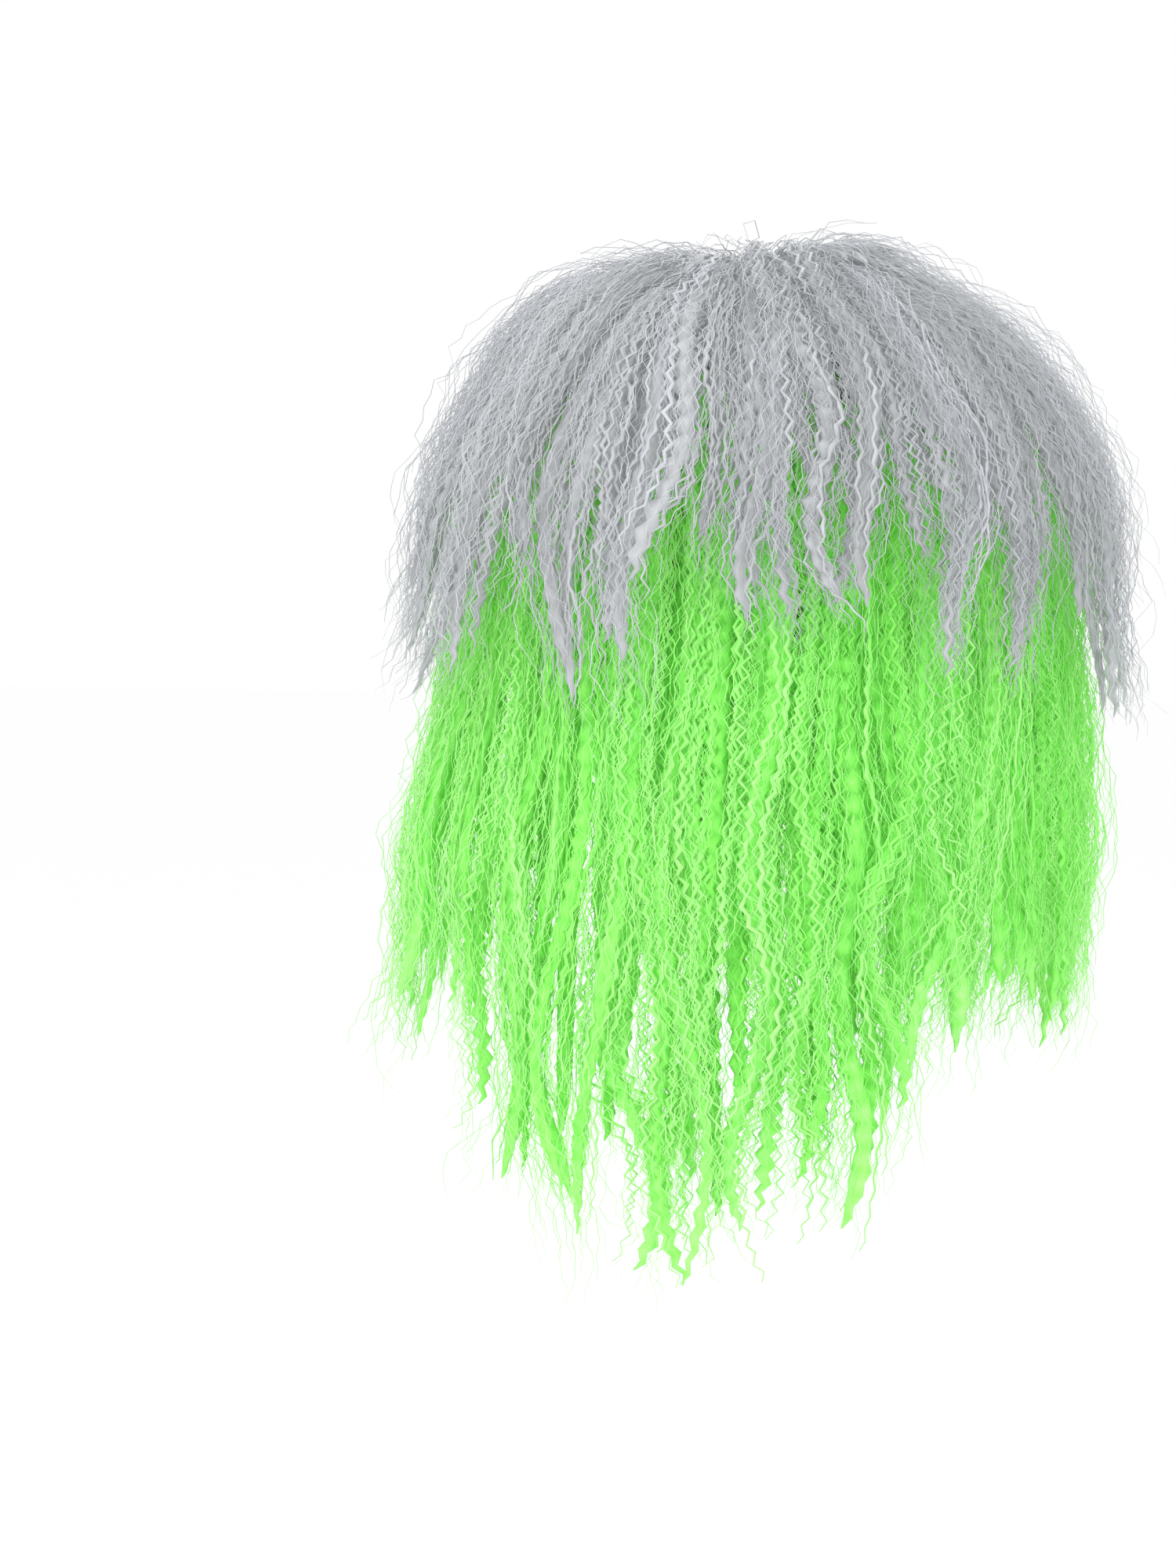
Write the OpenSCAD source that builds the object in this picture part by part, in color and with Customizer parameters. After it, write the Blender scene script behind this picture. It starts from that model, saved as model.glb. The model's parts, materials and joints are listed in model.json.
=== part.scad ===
// Costume wig: a net cap sewn with weft tracks, a short silver-grey top layer of
// crimped hair and a long lime-green layer under it.
// +Z up, face towards -Y, the wearer's left is +X. Origin: inner crown of the cap,
// where the top of the head seats. Angles a run from +X towards +Y.

/* [Head] */
// Breadth of the head that the cap fits
head_breadth = 154; // [146:1:162]
// Length of the head, front to back
head_length = 194; // [186:1:202]
// Drop from the crown to the widest level of the head
crown_height = 92; // [88:1:96]

/* [Cap] */
// Thickness of the stretch net
net_t = 0.8; // [0.5:0.1:0.9]
// Thickness of the edge bands
band_t = 1.6; // [1.2:0.1:1.8]
// Width of the edge bands, in degrees of the cap's curve
band_deg = 7.5; // [6:0.5:8]
// Width of the flat ribbons over the crown
ribbon_w = 12; // [8:1:16]
// Height of a weft track's sewn heading, in degrees of the cap's curve
track_deg = 3.6; // [2.6:0.2:4]
// Length of an ear tab below the edge, in degrees of the cap's curve
ear_tab_deg = 14; // [8:1:16]

/* [Hair] */
// Growth of the grey layer at each side of the head
grey_grow_side = 45; // [40:1:48]
// Growth of the grey layer at the front and the back of the head
grey_grow_back = 35; // [30:1:38]
// Growth of the grey layer over the crown
grey_grow_up = 23; // [18:1:26]
// Fall of the grey tips below the widest level of the head
grey_fall = 46; // [36:1:50]
// Fall of the fringe tips below the widest level of the head
fringe_fall = 12; // [4:1:30]
// Station at which the grey layer starts to swing, degrees from the crown
grey_hinge_deg = 75; // [70:1:78]
// Fall at which the green layer starts to swing
green_hinge_fall = 62; // [56:1:70]
// Fall of the green tips at the front edges and the middle of the back
green_fall_short = 166; // [150:1:190]
// Fall of the longest green tips, behind the left ear
green_fall_long = 236; // [200:1:250]
// Share of that extra fall behind the right ear
green_right_share = 0.25; // [0:0.05:1]
// Greatest thickness of the green curtain
curtain_t = 22; // [16:1:24]
// Depth of the ridges between locks
lock_depth = 1.5; // [0.5:0.1:2]

/* [Nape adjusters] */
// Height of the elastic strap
strap_h = 7; // [5:1:8]
// Thickness of the elastic strap
strap_t = 1; // [0.8:0.1:1.2]

/* [Hidden] */

net_colour = "#bfc3c6";
band_colour = "#a9adb2";
elastic_colour = "#e4e5e6";
plastic_colour = "#f0f0ee";
stay_colour = "#9aa0a6";
grey_colour = "#c3c7cc";
green_colour = "#8ef25f";

az_step = 6;                 // azimuth between the columns of a shell
section = 72;                // azimuth that one hair section covers
side_gap = 0.6;              // azimuth left free at each side of a section
front_a = [-126, -54];       // azimuths of the face opening
ear_front_a = [-24, 204];    // azimuths where temple and ear bands meet
back_a = [36, 144];          // azimuths where the side and back panels meet
crown_deg = 38;              // the crown net ends here
tuft_deg = 40;               // the crown hair ends here
roots_deg = 41;              // and the hair around it begins here
ear_edge_deg = 108;          // the cap's edge over the ears
ribbon_off = 1.2;            // the ribbons' inner face over the cap's inner face
ribbon_t = 0.6;
ribbon_inset = 1;            // degrees between a ribbon's end and the edge band
track_off = 2.4;             // the same for the weft tracks
track_t = 1.2;
hair_off = 4.2;              // and for the green hair, or grey where there is no green
layer_off = 14.5;            // and for the grey hair outside the green
green_t = 8.8;               // thickness of the green roots
grey_grow = [grey_grow_side, grey_grow_back, grey_grow_up];
green_flare = [0.16, 0.07];  // outwards for each mm of fall, side and front to back
grey_flare = [0.18, 0.2];
grey_thin = 5;               // the grey layer is this much thinner at its tips
blend_deg = 12;              // the fringe thickens to its neighbours' depth over this much
hinge_gap = 1.5;             // fall between fixed roots and swinging green ends
grey_hinge_gap = 0.9;        // the same for the grey ends, in degrees
green_slant = 8;             // the outer rim of the green ends starts this much lower
grey_slant_deg = 6;          // and that of the grey ends, in degrees

// Cap's edge, degrees from the crown, by azimuth away from the back
edge_table = [[0, 128], [36, 127], [48, 120], [54, 112], [60, 108], [114, 108],
    [120, 101], [126, 92], [132, 82], [138, 74], [144, 68], [180, 66]];
function from_back(a) = let (t = abs((a - 90) % 360)) min(t, 360 - t);
function edge_deg(a) = lookup(from_back(a), edge_table);
function band_top(a) = edge_deg(a) - band_deg;
function mix(p, q, v) = p + (q - p) * v;

// Point on the cap, off mm outside its inner face, s degrees from the crown
function cap_point(off, a, s) = [
    (head_breadth / 2 + off) * sin(s) * cos(a),
    (head_length / 2 + off) * sin(s) * sin(a),
    (crown_height + off) * cos(s) - crown_height];

// Point on a hair surface: a dome down to the head's widest level, at station 90,
// then a flaring wall that falls one mm for each further unit of station
function hair_point(grow, flare, a, station, ridge = 0) = let (
    s = min(station, 90),
    fall = max(station - 90, 0)) [
    (head_breadth / 2 + grow[0] + ridge + flare[0] * fall) * sin(s) * cos(a),
    (head_length / 2 + grow[1] + ridge + flare[1] * fall) * sin(s) * sin(a),
    (crown_height + grow[2] + ridge) * cos(s) - crown_height - fall];

function even(off) = [off, off, off];
function ridge_of(i) = lock_depth * (i % 2 == 0 ? -1 : 1);

// Closed shell between two surfaces, each a function of azimuth, of v from 0 at the
// top row to 1 at the bottom row, and of the column's number
module shell_patch(a0, a1, rows, inner, outer, step = az_step) {
    cols = max(1, round((a1 - a0) / step));
    n = rows + 1;
    side_n = (cols + 1) * n;
    points = [for (side = [0, 1]) for (i = [0:cols]) for (j = [0:rows])
        let (a = mix(a0, a1, i / cols)) side == 0 ? inner(a, j / rows, i) : outer(a, j / rows, i)];
    function at(side, i, j) = side * side_n + i * n + j;
    function quad(p, q, r, s) = [[p, q, r], [p, r, s]];
    faces = concat(
        [for (i = [0:cols - 1]) for (j = [0:rows - 1])
            for (t = quad(at(1, i, j), at(1, i + 1, j), at(1, i + 1, j + 1), at(1, i, j + 1))) t],
        [for (i = [0:cols - 1]) for (j = [0:rows - 1])
            for (t = quad(at(0, i, j), at(0, i, j + 1), at(0, i + 1, j + 1), at(0, i + 1, j))) t],
        [for (i = [0:cols - 1]) for (t = quad(at(1, i + 1, 0), at(1, i, 0), at(0, i, 0), at(0, i + 1, 0))) t],
        [for (i = [0:cols - 1]) for (t = quad(at(1, i, rows), at(1, i + 1, rows),
            at(0, i + 1, rows), at(0, i, rows))) t],
        [for (j = [0:rows - 1]) for (t = quad(at(1, 0, j), at(1, 0, j + 1), at(0, 0, j + 1), at(0, 0, j))) t],
        [for (j = [0:rows - 1]) for (t = quad(at(1, cols, j + 1), at(1, cols, j),
            at(0, cols, j), at(0, cols, j + 1))) t]);
    polyhedron(points, faces);
}

// Closed round dome with a single point at each pole; the surfaces are functions of
// azimuth, of station and of the column's number
module dome_disc(s1, rows, inner, outer) {
    cols = 360 / az_step;
    n = rows;
    function ring(f) = [for (i = [0:cols - 1]) for (j = [1:rows]) f(i * az_step, s1 * j / rows, i)];
    points = concat([inner(0, 0, 0), outer(0, 0, 0)], ring(inner), ring(outer));
    function at(side, i, j) = 2 + side * cols * n + (i % cols) * n + j - 1;
    faces = concat(
        [for (i = [0:cols - 1]) [1, at(1, i + 1, 1), at(1, i, 1)]],
        [for (i = [0:cols - 1]) [0, at(0, i, 1), at(0, i + 1, 1)]],
        [for (i = [0:cols - 1]) for (j = [1:1:rows - 1]) for (t = [
            [at(1, i, j), at(1, i + 1, j), at(1, i + 1, j + 1)],
            [at(1, i, j), at(1, i + 1, j + 1), at(1, i, j + 1)],
            [at(0, i, j), at(0, i + 1, j + 1), at(0, i + 1, j)],
            [at(0, i, j), at(0, i, j + 1), at(0, i + 1, j + 1)]]) t],
        [for (i = [0:cols - 1]) for (t = [
            [at(1, i, rows), at(1, i + 1, rows), at(0, i + 1, rows)],
            [at(1, i, rows), at(0, i + 1, rows), at(0, i, rows)]]) t]);
    polyhedron(points, faces);
}

// Cap pieces

module cap_panel(a0, a1, rows, top, bottom, off, t, step = az_step) {
    shell_patch(a0, a1, rows,
        function (a, v, i) cap_point(off, a, mix(top(a), bottom(a), v)),
        function (a, v, i) cap_point(off + t, a, mix(top(a), bottom(a), v)), step);
}

module net_panel(a0, a1) {
    color(net_colour) cap_panel(a0, a1, 12, function (a) crown_deg, function (a) band_top(a), 0, net_t);
}

module edge_band(a0, a1) {
    color(band_colour) cap_panel(a0, a1, 1, function (a) band_top(a), function (a) edge_deg(a), 0, band_t);
}

module crown_net() {
    color(net_colour) dome_disc(crown_deg, 6,
        function (a, s, i) cap_point(0, a, s),
        function (a, s, i) cap_point(net_t, a, s));
}
module front_net() net_panel(front_a[0], front_a[1]);
module left_net() net_panel(front_a[1], back_a[0]);
module right_net() net_panel(back_a[1], front_a[0] + 360);
module back_net() net_panel(back_a[0], back_a[1]);

module front_band() edge_band(front_a[0], front_a[1]);
module left_temple_band() edge_band(front_a[1], ear_front_a[0]);
module right_temple_band() edge_band(ear_front_a[1], front_a[0] + 360);
module left_ear_band() edge_band(ear_front_a[0], back_a[0]);
module right_ear_band() edge_band(back_a[1], ear_front_a[1]);
module nape_band() edge_band(back_a[0], back_a[1]);

ear_tab_a = [-24, -6];       // azimuths of the left ear tab
ear_tab_gap = 0.9;           // degrees between the edge and the tab
ear_tab_round = 10;          // half width of the tab's rounded end, in azimuth
ear_stay_a = [-17, -13];
ear_stay_inset = [2, 1.5];   // degrees from the cap's edge, and from the tab's end
ear_stay_t = 0.8;
sewn_gap = 0.1;              // between pieces sewn face to face
function ear_tab_end(a) = let (u = (a - (ear_tab_a[0] + ear_tab_a[1]) / 2) / ear_tab_round)
    ear_edge_deg + ear_tab_gap + ear_tab_deg * sqrt(1 - u * u);

module ear_tab() {
    color(band_colour) cap_panel(ear_tab_a[0], ear_tab_a[1], 3,
        function (a) ear_edge_deg + ear_tab_gap, function (a) ear_tab_end(a), 0, band_t, 2);
}
module ear_stay() {
    color(stay_colour) cap_panel(ear_stay_a[0], ear_stay_a[1], 3,
        function (a) ear_edge_deg + ear_stay_inset[0],
        function (a) ear_edge_deg + ear_tab_deg - ear_stay_inset[1],
        band_t + sewn_gap, ear_stay_t, 2);
}
module left_ear_tab() ear_tab();
module right_ear_tab() mirror([1, 0, 0]) ear_tab();
module left_ear_stay() ear_stay();
module right_ear_stay() mirror([1, 0, 0]) ear_stay();

// Point on the cap above the plane across or along it: w mm aside, t degrees from the crown
function ribbon_along(off, w, t) = let (k = sqrt(1 - pow(w / (head_breadth / 2 + off), 2)))
    [w, (head_length / 2 + off) * k * sin(t), (crown_height + off) * k * cos(t) - crown_height];
function ribbon_across(off, w, t) = let (k = sqrt(1 - pow(w / (head_length / 2 + off), 2)))
    [(head_breadth / 2 + off) * k * sin(t), w, (crown_height + off) * k * cos(t) - crown_height];

module centre_ribbon() {
    t0 = -band_top(-90) + ribbon_inset;
    t1 = band_top(90) - ribbon_inset;
    color(elastic_colour) shell_patch(-ribbon_w / 2, ribbon_w / 2, 32,
        function (w, v, i) ribbon_along(ribbon_off, -w, mix(t0, t1, v)),
        function (w, v, i) ribbon_along(ribbon_off + ribbon_t, -w, mix(t0, t1, v)), ribbon_w / 2);
}
module side_ribbon() {
    t0 = asin((ribbon_w / 2 + 1) / (head_breadth / 2));
    t1 = ear_edge_deg - band_deg - ribbon_inset;
    color(elastic_colour) shell_patch(-ribbon_w / 2, ribbon_w / 2, 18,
        function (w, v, i) ribbon_across(ribbon_off, w, mix(t0, t1, v)),
        function (w, v, i) ribbon_across(ribbon_off + ribbon_t, w, mix(t0, t1, v)), ribbon_w / 2);
}
module left_ribbon() side_ribbon();
module right_ribbon() mirror([1, 0, 0]) side_ribbon();

// Weft tracks: the sewn headings that carry the hair

module weft_track(a0, a1, s, tint) {
    color(tint) cap_panel(a0, a1, 1, function (a) s - track_deg / 2, function (a) s + track_deg / 2,
        track_off, track_t);
}
grey_track_s = [17, 23.5, 30, 36.5];
green_track_s = [45, 57, 69, 81, 92, 103];
green_track_a = [-54, -54, -54, -24, -24, 24];
fringe_track_s = 55;
full_turn = 358;             // a round track stops short of itself
whorl_deg = 12;

module grey_track(n) weft_track(0, full_turn, grey_track_s[n], grey_colour);
module green_track(n) weft_track(green_track_a[n], 180 - green_track_a[n], green_track_s[n], green_colour);
module fringe_track() weft_track(front_a[0], front_a[1], fringe_track_s, grey_colour);
module crown_whorl() {
    color(net_colour) dome_disc(whorl_deg, 2,
        function (a, s, i) cap_point(track_off, a, s),
        function (a, s, i) cap_point(track_off + track_t, a, s));
}

// Nape adjusters: strips that follow a circle round the back of the neck and lean
// in with the cap

nape_r = 58.8;               // outer face of the nape band, from the circle's axis
nape_y = 23.4;               // the circle's axis
nape_z = -143.6;             // middle height of the strips
nape_lean = 0.66;            // growth of the radius for each mm upwards
loop_t = 0.9;
loop_span = 13;              // the loops reach this far aside of the middle
loop_step = 3.25;
loop_half = 0.5;
strap_r = nape_r + loop_t + 0.9;
strap_a = [22, 57];
casing_a = [40, 58];
casing_wall = 0.7;
casing_gap = 0.4;
hook_base_a = [19.5, 22];
hook_arm_a = [16, 19.8];
hook_arm_h = 1.4;
hook_tip_a = [15.4, 16.3];
hook_tip_h = 1.2;
hook_rim = 0.3;              // the hook's base stands proud of the strap
hook_drop = 0.5;             // and its tip turns in towards the loops

// Arc of a leaning strip: radii r0 and r1 at the middle height, half height h, from p0 to
// p1 degrees aside of the middle of the back
module nape_arc(r0, r1, h, p0, p1) {
    translate([0, nape_y, nape_z]) rotate([0, 0, 90 - p1]) rotate_extrude(angle = p1 - p0, $fn = 120)
        polygon([[r0 - nape_lean * h, -h], [r1 - nape_lean * h, -h],
            [r1 + nape_lean * h, h], [r0 + nape_lean * h, h]]);
}
module adjuster_casing() {
    h = strap_h / 2 + casing_gap;
    color(band_colour) difference() {
        nape_arc(strap_r - casing_gap - casing_wall, strap_r + strap_t + casing_gap + casing_wall,
            h + casing_wall, casing_a[0], casing_a[1]);
        nape_arc(strap_r - casing_gap, strap_r + strap_t + casing_gap, h, casing_a[0] - 1, casing_a[1] + 1);
    }
}
module adjuster_strap() {
    color(elastic_colour) nape_arc(strap_r, strap_r + strap_t, strap_h / 2, strap_a[0], strap_a[1]);
}
module adjuster_hook() {
    color(plastic_colour) {
        nape_arc(strap_r - hook_rim, strap_r + strap_t + hook_rim, strap_h / 2, hook_base_a[0], hook_base_a[1]);
        nape_arc(strap_r + sewn_gap, strap_r + strap_t, hook_arm_h, hook_arm_a[0], hook_arm_a[1]);
        nape_arc(strap_r - hook_drop, strap_r + strap_t - sewn_gap, hook_tip_h, hook_tip_a[0], hook_tip_a[1]);
    }
}
module adjuster_loops() {
    color(elastic_colour) for (p = [-loop_span:loop_step:loop_span])
        nape_arc(nape_r + sewn_gap, nape_r + loop_t, strap_h / 2, p - loop_half, p + loop_half);
}
module left_adjuster_casing() adjuster_casing();
module right_adjuster_casing() mirror([1, 0, 0]) adjuster_casing();
module left_adjuster_strap() adjuster_strap();
module right_adjuster_strap() mirror([1, 0, 0]) adjuster_strap();
module left_adjuster_hook() adjuster_hook();
module right_adjuster_hook() mirror([1, 0, 0]) adjuster_hook();

// Hair: soft solids of each section's true place and thickness

// Inner face of the crown hair: on the cap, then up to the layer around it
crown_lift_deg = 30;
function crown_off(s) = mix(hair_off, layer_off, max(0, (s - crown_lift_deg) / (tuft_deg - crown_lift_deg)));

module grey_crown_hair() {
    color(grey_colour) dome_disc(tuft_deg, 7,
        function (a, s, i) cap_point(crown_off(s), a, s),
        function (a, s, i) hair_point(grey_grow, grey_flare, a, s, ridge_of(i) * sin(s)));
}

// Grey sections; n counts from the fringe towards the wearer's left
function section_a(n) = front_a[0] + section * n;
function grey_inner(n, a, station) = even(n > 0 ? layer_off : mix(layer_off, hair_off,
    min(1, (station - roots_deg) / blend_deg, (a - front_a[0] - side_gap) / blend_deg,
        (front_a[1] - side_gap - a) / blend_deg)));
tip_step = 4;                // every other lock is longer by twice this
function tip_of(i) = tip_step * (i % 2 == 0 ? -1 : 1);

module grey_roots(n) {
    color(grey_colour) shell_patch(section_a(n) + side_gap, section_a(n + 1) - side_gap, 5,
        function (a, v, i) let (s = mix(roots_deg, grey_hinge_deg, v))
            hair_point(grey_inner(n, a, s), green_flare, a, s),
        function (a, v, i) hair_point(grey_grow, grey_flare, a, mix(roots_deg, grey_hinge_deg, v), ridge_of(i)));
}
module grey_ends(n) {
    tip = 90 + (n == 0 ? fringe_fall : grey_fall);
    top = grey_hinge_deg + grey_hinge_gap;
    color(grey_colour) shell_patch(section_a(n) + side_gap, section_a(n + 1) - side_gap, 6,
        function (a, v, i) let (s = mix(top, tip + tip_of(i), v))
            hair_point(grey_inner(n, a, s), green_flare, a, s),
        function (a, v, i) hair_point(grey_grow - grey_thin * v * v * [1, 1, 0], grey_flare, a,
            mix(top + grey_slant_deg, tip + tip_of(i), v), ridge_of(i)));
}
module fringe_roots() grey_roots(0);
module left_side_grey_roots() grey_roots(1);
module left_back_grey_roots() grey_roots(2);
module right_back_grey_roots() grey_roots(3);
module right_side_grey_roots() grey_roots(4);
module fringe_ends() grey_ends(0);
module left_side_grey_ends() grey_ends(1);
module left_back_grey_ends() grey_ends(2);
module right_back_grey_ends() grey_ends(3);
module right_side_grey_ends() grey_ends(4);

// Green sections, in the places of grey sections 1 to 4
green_top_deg = 42;
green_out = even(hair_off + green_t);
green_ridge = 0.4;           // the roots' ridges are this much of the full depth
green_rise = [24, 42];       // away from the back, the tips grow long over this much
green_end = [92, 118];       // and short again over this much
green_side = [-0.2, 0.4];    // cosines of azimuth between the right side and the left
function ease(x, from, to) = let (t = max(0, min(1, (x - from) / (to - from)))) t * t * (3 - 2 * t);
function green_tip(a) = green_fall_short + (green_fall_long - green_fall_short)
    * ease(from_back(a), green_rise[0], green_rise[1])
    * (1 - ease(from_back(a), green_end[0], green_end[1]))
    * mix(green_right_share, 1, ease(cos(a), green_side[0], green_side[1]));
curtain_profile = [[0, 0.4], [0.25, 1], [0.65, 1], [1, 0.3]];
curtain_open = [5, 2];       // the inner face opens by this much towards the tips

module green_roots(n) {
    bottom = 90 + green_hinge_fall;
    color(green_colour) shell_patch(section_a(n) + side_gap, section_a(n + 1) - side_gap, 12,
        function (a, v, i) hair_point(even(hair_off), green_flare, a, mix(green_top_deg, bottom, v)),
        function (a, v, i) hair_point(green_out, green_flare, a, mix(green_top_deg, bottom, v),
            ridge_of(i) * green_ridge * v));
}

// Point on a hanging curtain: t mm outside its inner face, fall mm below the widest level
function curtain_point(a, v, t, fall) = [
    (head_breadth / 2 + hair_off + green_flare[0] * green_hinge_fall + curtain_open[0] * v + t) * cos(a),
    (head_length / 2 + hair_off + green_flare[1] * green_hinge_fall + curtain_open[1] * v + t) * sin(a),
    -crown_height - fall];

module green_ends(n) {
    top = green_hinge_fall + hinge_gap;
    color(green_colour) shell_patch(section_a(n) + side_gap, section_a(n + 1) - side_gap, 9,
        function (a, v, i) curtain_point(a, v, 0, mix(top, green_tip(a) + 2 * tip_of(i), v)),
        function (a, v, i) curtain_point(a, v, curtain_t * lookup(v, curtain_profile) + ridge_of(i) * v,
            mix(top + green_slant, green_tip(a) + 2 * tip_of(i), v)));
}
module left_side_green_roots() green_roots(1);
module left_back_green_roots() green_roots(2);
module right_back_green_roots() green_roots(3);
module right_side_green_roots() green_roots(4);
module left_side_green_ends() green_ends(1);
module left_back_green_ends() green_ends(2);
module right_back_green_ends() green_ends(3);
module right_side_green_ends() green_ends(4);

crown_net();
front_net();
left_net();
right_net();
back_net();
front_band();
left_temple_band();
right_temple_band();
left_ear_band();
right_ear_band();
nape_band();
left_ear_tab();
right_ear_tab();
left_ear_stay();
right_ear_stay();
centre_ribbon();
left_ribbon();
right_ribbon();
left_adjuster_casing();
right_adjuster_casing();
left_adjuster_strap();
right_adjuster_strap();
left_adjuster_hook();
right_adjuster_hook();
adjuster_loops();
crown_whorl();
grey_track(0);  // grey_track_1
grey_track(1);  // grey_track_2
grey_track(2);  // grey_track_3
grey_track(3);  // grey_track_4
fringe_track();
green_track(0);  // green_track_1
green_track(1);  // green_track_2
green_track(2);  // green_track_3
green_track(3);  // green_track_4
green_track(4);  // green_track_5
green_track(5);  // green_track_6
grey_crown_hair();
fringe_roots();
left_side_grey_roots();
left_back_grey_roots();
right_back_grey_roots();
right_side_grey_roots();
fringe_ends();
left_side_grey_ends();
left_back_grey_ends();
right_back_grey_ends();
right_side_grey_ends();
left_side_green_roots();
left_back_green_roots();
right_back_green_roots();
right_side_green_roots();
left_side_green_ends();
left_back_green_ends();
right_back_green_ends();
right_side_green_ends();
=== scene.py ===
import json
import math
import bpy
import numpy as np
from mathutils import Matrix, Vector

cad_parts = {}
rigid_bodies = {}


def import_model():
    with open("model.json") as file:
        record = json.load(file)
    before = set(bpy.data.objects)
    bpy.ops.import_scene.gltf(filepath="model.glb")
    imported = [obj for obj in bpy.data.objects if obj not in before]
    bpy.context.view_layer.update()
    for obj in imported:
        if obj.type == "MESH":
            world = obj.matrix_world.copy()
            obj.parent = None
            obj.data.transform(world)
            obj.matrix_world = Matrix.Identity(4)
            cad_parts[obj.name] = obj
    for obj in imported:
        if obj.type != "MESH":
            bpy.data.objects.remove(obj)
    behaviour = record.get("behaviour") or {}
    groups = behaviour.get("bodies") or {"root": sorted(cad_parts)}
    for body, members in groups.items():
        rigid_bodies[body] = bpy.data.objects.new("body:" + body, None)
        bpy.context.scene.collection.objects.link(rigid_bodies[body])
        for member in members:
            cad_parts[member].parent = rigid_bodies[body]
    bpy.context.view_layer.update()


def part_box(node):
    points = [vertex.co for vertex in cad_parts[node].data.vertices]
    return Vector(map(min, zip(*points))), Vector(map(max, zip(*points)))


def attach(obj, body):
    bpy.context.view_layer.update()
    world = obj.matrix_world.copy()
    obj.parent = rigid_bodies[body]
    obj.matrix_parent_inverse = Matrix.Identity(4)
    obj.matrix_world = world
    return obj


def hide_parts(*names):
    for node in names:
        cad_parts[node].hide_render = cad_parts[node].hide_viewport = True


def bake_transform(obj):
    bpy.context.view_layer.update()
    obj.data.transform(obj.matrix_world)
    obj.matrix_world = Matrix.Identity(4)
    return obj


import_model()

rng = np.random.default_rng(20817)

# Lengths are in metres and angles in degrees, azimuths from +X towards +Y
view = {
    "azimuth": 125.0,         # from behind the wearer's left shoulder
    "elevation": 2.0,
    "distance": 2.3,
    "frameHeight": 0.548,     # height of the view at the wig
    "asideOfWig": 0.058,      # the wig hangs right of the middle
    "middleHeight": -0.166,
}


def placeCamera(v):
    a = math.radians(v["azimuth"])
    e = math.radians(v["elevation"])
    toCamera = np.array([math.sin(a) * math.cos(e), -math.cos(a) * math.cos(e), math.sin(e)])
    right = np.array([math.cos(a), math.sin(a), 0.0])
    aim = np.array([0, 0, v["middleHeight"]]) - right * v["asideOfWig"]
    data = bpy.data.cameras.new("camera")
    data.sensor_fit = "VERTICAL"
    data.sensor_height = 24.0
    data.lens = data.sensor_height * v["distance"] / v["frameHeight"]
    data.clip_end = 50.0
    camera = bpy.data.objects.new("camera", data)
    matrix = np.eye(4)
    matrix[:3, :3] = np.column_stack([right, np.cross(toCamera, right), toCamera])
    matrix[:3, 3] = aim + toCamera * v["distance"]
    camera.matrix_world = matrix.T.tolist()
    bpy.context.scene.collection.objects.link(camera)
    bpy.context.scene.camera = camera


placeCamera(view)
print("camera placed")


# 0 below low, 1 above high, 3t^2 - 2t^3 between
def smooth(x, low, high):
    t = np.clip((x - low) / (high - low), 0.0, 1.0)
    return t * t * (3.0 - 2.0 * t)


def unit(v):
    return v / np.maximum(np.linalg.norm(v, axis=-1, keepdims=True), 1e-12)


# A mesh from arrays of corners, four to a quad and three to a triangle
def makeMesh(name, verts, quads, tris, tone=None, along=None):
    mesh = bpy.data.meshes.new(name)
    corners = np.concatenate([quads.ravel(), tris.ravel()]).astype(np.int32)
    starts = np.concatenate([np.arange(len(quads)) * 4, len(quads) * 4 + np.arange(len(tris)) * 3])
    mesh.vertices.add(len(verts))
    mesh.vertices.foreach_set("co", np.asarray(verts, np.float32).ravel())
    mesh.loops.add(len(corners))
    mesh.loops.foreach_set("vertex_index", corners)
    mesh.polygons.add(len(starts))
    mesh.polygons.foreach_set("loop_start", starts.astype(np.int32))
    mesh.polygons.foreach_set("use_smooth", np.ones(len(starts), bool))
    mesh.update(calc_edges=True)
    if tone is not None:
        mesh.attributes.new("tone", "FLOAT", "POINT").data.foreach_set("value", tone.astype(np.float32))
    if along is not None:
        layer = mesh.uv_layers.new(name="along")
        layer.data.foreach_set("uv", along[corners].astype(np.float32).ravel())
    piece = bpy.data.objects.new(name, mesh)
    bpy.context.scene.collection.objects.link(piece)
    return piece


# Closed tubes along many paths at once: a ring is centre + side r cos f + out r sin f, and
# each corner's r is its own share of the two radii
def tubes(centre, side, out, radiusSide, radiusOut, shares):
    count, rings = centre.shape[:2]
    corners = shares.shape[-1]
    f = np.arange(corners) * (2 * np.pi / corners) + np.pi / corners
    ring = (centre[:, :, None]
            + side[:, :, None] * (radiusSide[..., None] * shares * np.cos(f))[..., None]
            + out[:, :, None] * (radiusOut[..., None] * shares * np.sin(f))[..., None])
    first = (np.arange(count) * rings * corners)[:, None, None]
    level = (np.arange(rings - 1) * corners)[None, :, None]
    k = np.arange(corners)[None, None]
    a = first + level + k
    b = first + level + (k + 1) % corners
    quads = np.stack([a, b, b + corners, a + corners], -1).reshape(-1, 4)
    root = first[:, 0, 0]
    tip = root + (rings - 1) * corners
    ends = [np.stack([root, root + i + 1, root + i], -1) for i in range(1, corners - 1)]
    ends += [np.stack([tip, tip + i, tip + i + 1], -1) for i in range(1, corners - 1)]
    return ring.reshape(-1, 3), quads, np.concatenate(ends)


# The head, from the frame's cap
netThickness = 0.0008
head = {
    "halfBreadth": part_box("left_net")[1][0] - netThickness,
    "halfLength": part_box("back_net")[1][1] - netThickness,
    "crownDrop": 0.092,       # from the crown to the head's widest level
}


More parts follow.
